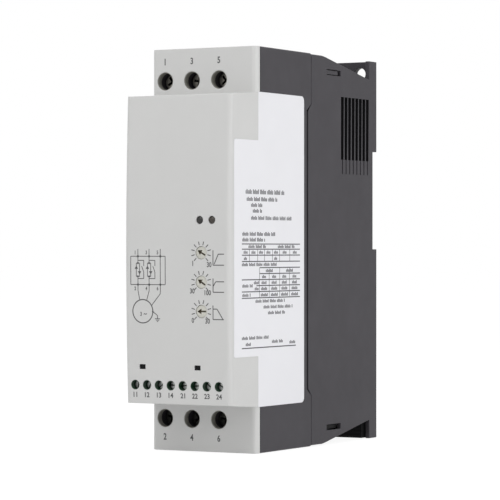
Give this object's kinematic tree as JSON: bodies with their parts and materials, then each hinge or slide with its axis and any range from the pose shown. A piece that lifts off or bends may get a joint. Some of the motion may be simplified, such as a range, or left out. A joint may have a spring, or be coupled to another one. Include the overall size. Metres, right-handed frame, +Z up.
{
  "type": "soft starter",
  "caption": "Narrow rail-mounted motor soft starter: light grey raised front with dials, lights and control terminals, dark housing, recessed power terminals at top and bottom.",
  "frame": {"origin": "centre of the outer box in X and Y, on the plane of the lower end", "axes": "+Z up towards the line terminals, -Y out of the front, +X to the right seen from the front"},
  "size_m": [0.045, 0.1184, 0.15],
  "materials": {
    "cover_plastic": "fine moulded texture, light grey",
    "housing_plastic": "fine moulded texture, dark grey",
    "latch_plastic": "smooth black",
    "spring_steel": "drawn wire",
    "power_screw_steel": "dark passivated",
    "clamp_steel": "zinc plated",
    "bar_copper": "tinned copper",
    "block_plastic": "dark green",
    "control_screw_steel": "zinc plated",
    "dial_plastic": "cream",
    "pot_plastic": "blue",
    "light_plastic": "clear brown, polished",
    "board_laminate": "green lacquered glass fibre laminate",
    "output_relay_plastic": "orange",
    "relay_plastic": "black",
    "transformer_tape": "yellow tape over the winding",
    "ribbon_plastic": "grey flat cable",
    "sink_aluminium": "extruded, plain",
    "module_plastic": "black moulding compound",
    "label_film": "white label film",
    "print_ink": "dark grey pad print"
  },
  "bodies": {
    "housing": {"rear_housing": "housing_plastic", "middle_housing": "housing_plastic", "front_cover": "cover_plastic", "control_terminal_block": "block_plastic", "control_board": "board_laminate", "power_board": "board_laminate", "heat_sink": "sink_aluminium", "thyristor_module_1": "module_plastic", "thyristor_module_2": "module_plastic", "bypass_relay_1": "relay_plastic", "bypass_relay_2": "relay_plastic", "output_relay_1": "output_relay_plastic", "output_relay_2": "output_relay_plastic", "control_transformer": "transformer_tape", "board_ribbon": "ribbon_plastic", "run_light": "light_plastic", "fault_light": "light_plastic", "start_time_pot": "pot_plastic", "start_voltage_pot": "pot_plastic", "stop_time_pot": "pot_plastic", "latch_spring": "spring_steel", "line_bar_1": "bar_copper", "line_bar_2": "bar_copper", "line_bar_3": "bar_copper", "load_bar_1": "bar_copper", "load_bar_2": "bar_copper", "load_bar_3": "bar_copper"},
    "line_screw_1": {"line_screw_1": "power_screw_steel"},
    "line_clamp_1": {"line_clamp_1": "clamp_steel"},
    "line_screw_2": {"line_screw_2": "power_screw_steel"},
    "line_clamp_2": {"line_clamp_2": "clamp_steel"},
    "line_screw_3": {"line_screw_3": "power_screw_steel"},
    "line_clamp_3": {"line_clamp_3": "clamp_steel"},
    "load_screw_1": {"load_screw_1": "power_screw_steel"},
    "load_clamp_1": {"load_clamp_1": "clamp_steel"},
    "load_screw_2": {"load_screw_2": "power_screw_steel"},
    "load_clamp_2": {"load_clamp_2": "clamp_steel"},
    "load_screw_3": {"load_screw_3": "power_screw_steel"},
    "load_clamp_3": {"load_clamp_3": "clamp_steel"},
    "control_screw_1": {"control_screw_1": "control_screw_steel"},
    "control_clamp_1": {"control_clamp_1": "clamp_steel"},
    "control_screw_2": {"control_screw_2": "control_screw_steel"},
    "control_clamp_2": {"control_clamp_2": "clamp_steel"},
    "control_screw_3": {"control_screw_3": "control_screw_steel"},
    "control_clamp_3": {"control_clamp_3": "clamp_steel"},
    "control_screw_4": {"control_screw_4": "control_screw_steel"},
    "control_clamp_4": {"control_clamp_4": "clamp_steel"},
    "control_screw_5": {"control_screw_5": "control_screw_steel"},
    "control_clamp_5": {"control_clamp_5": "clamp_steel"},
    "control_screw_6": {"control_screw_6": "control_screw_steel"},
    "control_clamp_6": {"control_clamp_6": "clamp_steel"},
    "control_screw_7": {"control_screw_7": "control_screw_steel"},
    "control_clamp_7": {"control_clamp_7": "clamp_steel"},
    "control_screw_8": {"control_screw_8": "control_screw_steel"},
    "control_clamp_8": {"control_clamp_8": "clamp_steel"},
    "start_time_dial": {"start_time_dial": "dial_plastic"},
    "start_voltage_dial": {"start_voltage_dial": "dial_plastic"},
    "stop_time_dial": {"stop_time_dial": "dial_plastic"},
    "din_latch": {"din_latch": "latch_plastic"}
  },
  "joints": [
    {"name": "line_screw_1_turn", "type": "hinge", "parent": "housing", "child": "line_screw_1", "pos_m": [-0.0168, -0.0338, 0.138], "axis": [0, 1, 0], "range_deg": [0, 2161]},
    {"name": "line_clamp_1_lift", "type": "slide", "parent": "housing", "child": "line_clamp_1", "axis": [0, -1, 0], "range_m": [0, 0.0042]},
    {"name": "line_screw_2_turn", "type": "hinge", "parent": "housing", "child": "line_screw_2", "pos_m": [-0.0052, -0.0338, 0.138], "axis": [0, 1, 0], "range_deg": [0, 2161]},
    {"name": "line_clamp_2_lift", "type": "slide", "parent": "housing", "child": "line_clamp_2", "axis": [0, -1, 0], "range_m": [0, 0.0042]},
    {"name": "line_screw_3_turn", "type": "hinge", "parent": "housing", "child": "line_screw_3", "pos_m": [0.0064, -0.0338, 0.138], "axis": [0, 1, 0], "range_deg": [0, 2161]},
    {"name": "line_clamp_3_lift", "type": "slide", "parent": "housing", "child": "line_clamp_3", "axis": [0, -1, 0], "range_m": [0, 0.0042]},
    {"name": "load_screw_1_turn", "type": "hinge", "parent": "housing", "child": "load_screw_1", "pos_m": [-0.0168, -0.0338, 0.012], "axis": [0, 1, 0], "range_deg": [0, 2161]},
    {"name": "load_clamp_1_lift", "type": "slide", "parent": "housing", "child": "load_clamp_1", "axis": [0, -1, 0], "range_m": [0, 0.0042]},
    {"name": "load_screw_2_turn", "type": "hinge", "parent": "housing", "child": "load_screw_2", "pos_m": [-0.0052, -0.0338, 0.012], "axis": [0, 1, 0], "range_deg": [0, 2161]},
    {"name": "load_clamp_2_lift", "type": "slide", "parent": "housing", "child": "load_clamp_2", "axis": [0, -1, 0], "range_m": [0, 0.0042]},
    {"name": "load_screw_3_turn", "type": "hinge", "parent": "housing", "child": "load_screw_3", "pos_m": [0.0064, -0.0338, 0.012], "axis": [0, 1, 0], "range_deg": [0, 2161]},
    {"name": "load_clamp_3_lift", "type": "slide", "parent": "housing", "child": "load_clamp_3", "axis": [0, -1, 0], "range_m": [0, 0.0042]},
    {"name": "control_screw_1_turn", "type": "hinge", "parent": "housing", "child": "control_screw_1", "pos_m": [-0.0183, -0.05576, 0.0253], "axis": [0, 1, 0], "range_deg": [0, 1441]},
    {"name": "control_clamp_1_lift", "type": "slide", "parent": "housing", "child": "control_clamp_1", "axis": [0, -1, 0], "range_m": [0, 0.0018]},
    {"name": "control_screw_2_turn", "type": "hinge", "parent": "housing", "child": "control_screw_2", "pos_m": [-0.01322, -0.05576, 0.0253], "axis": [0, 1, 0], "range_deg": [0, 1441]},
    {"name": "control_clamp_2_lift", "type": "slide", "parent": "housing", "child": "control_clamp_2", "axis": [0, -1, 0], "range_m": [0, 0.0018]},
    {"name": "control_screw_3_turn", "type": "hinge", "parent": "housing", "child": "control_screw_3", "pos_m": [-0.00814, -0.05576, 0.0253], "axis": [0, 1, 0], "range_deg": [0, 1441]},
    {"name": "control_clamp_3_lift", "type": "slide", "parent": "housing", "child": "control_clamp_3", "axis": [0, -1, 0], "range_m": [0, 0.0018]},
    {"name": "control_screw_4_turn", "type": "hinge", "parent": "housing", "child": "control_screw_4", "pos_m": [-0.00306, -0.05576, 0.0253], "axis": [0, 1, 0], "range_deg": [0, 1441]},
    {"name": "control_clamp_4_lift", "type": "slide", "parent": "housing", "child": "control_clamp_4", "axis": [0, -1, 0], "range_m": [0, 0.0018]},
    {"name": "control_screw_5_turn", "type": "hinge", "parent": "housing", "child": "control_screw_5", "pos_m": [0.00202, -0.05576, 0.0253], "axis": [0, 1, 0], "range_deg": [0, 1441]},
    {"name": "control_clamp_5_lift", "type": "slide", "parent": "housing", "child": "control_clamp_5", "axis": [0, -1, 0], "range_m": [0, 0.0018]},
    {"name": "control_screw_6_turn", "type": "hinge", "parent": "housing", "child": "control_screw_6", "pos_m": [0.0071, -0.05576, 0.0253], "axis": [0, 1, 0], "range_deg": [0, 1441]},
    {"name": "control_clamp_6_lift", "type": "slide", "parent": "housing", "child": "control_clamp_6", "axis": [0, -1, 0], "range_m": [0, 0.0018]},
    {"name": "control_screw_7_turn", "type": "hinge", "parent": "housing", "child": "control_screw_7", "pos_m": [0.01218, -0.05576, 0.0253], "axis": [0, 1, 0], "range_deg": [0, 1441]},
    {"name": "control_clamp_7_lift", "type": "slide", "parent": "housing", "child": "control_clamp_7", "axis": [0, -1, 0], "range_m": [0, 0.0018]},
    {"name": "control_screw_8_turn", "type": "hinge", "parent": "housing", "child": "control_screw_8", "pos_m": [0.01726, -0.05576, 0.0253], "axis": [0, 1, 0], "range_deg": [0, 1441]},
    {"name": "control_clamp_8_lift", "type": "slide", "parent": "housing", "child": "control_clamp_8", "axis": [0, -1, 0], "range_m": [0, 0.0018]},
    {"name": "start_time_turn", "type": "hinge", "parent": "housing", "child": "start_time_dial", "pos_m": [0.0104, -0.0589, 0.0739], "axis": [0, 1, 0], "range_deg": [-74, 196]},
    {"name": "start_voltage_turn", "type": "hinge", "parent": "housing", "child": "start_voltage_dial", "pos_m": [0.0104, -0.05884, 0.0632], "axis": [0, 1, 0], "range_deg": [-78, 192]},
    {"name": "stop_time_turn", "type": "hinge", "parent": "housing", "child": "stop_time_dial", "pos_m": [0.0104, -0.05869, 0.0526], "axis": [0, 1, 0], "range_deg": [-45, 225]},
    {"name": "latch_slide", "type": "slide", "parent": "housing", "child": "din_latch", "axis": [0, 0, -1], "range_m": [0, 0.005], "stiffness_N_per_m": 500, "springref_m": -0.003, "deforming": ["latch_spring"]}
  ],
  "couplings": [
    {"joint": "line_screw_1_turn", "follows": "line_clamp_1_lift", "rad_per_m": 8976},
    {"joint": "line_screw_2_turn", "follows": "line_clamp_2_lift", "rad_per_m": 8976},
    {"joint": "line_screw_3_turn", "follows": "line_clamp_3_lift", "rad_per_m": 8976},
    {"joint": "load_screw_1_turn", "follows": "load_clamp_1_lift", "rad_per_m": 8976},
    {"joint": "load_screw_2_turn", "follows": "load_clamp_2_lift", "rad_per_m": 8976},
    {"joint": "load_screw_3_turn", "follows": "load_clamp_3_lift", "rad_per_m": 8976},
    {"joint": "control_screw_1_turn", "follows": "control_clamp_1_lift", "rad_per_m": 13963},
    {"joint": "control_screw_2_turn", "follows": "control_clamp_2_lift", "rad_per_m": 13963},
    {"joint": "control_screw_3_turn", "follows": "control_clamp_3_lift", "rad_per_m": 13963},
    {"joint": "control_screw_4_turn", "follows": "control_clamp_4_lift", "rad_per_m": 13963},
    {"joint": "control_screw_5_turn", "follows": "control_clamp_5_lift", "rad_per_m": 13963},
    {"joint": "control_screw_6_turn", "follows": "control_clamp_6_lift", "rad_per_m": 13963},
    {"joint": "control_screw_7_turn", "follows": "control_clamp_7_lift", "rad_per_m": 13963},
    {"joint": "control_screw_8_turn", "follows": "control_clamp_8_lift", "rad_per_m": 13963}
  ]
}
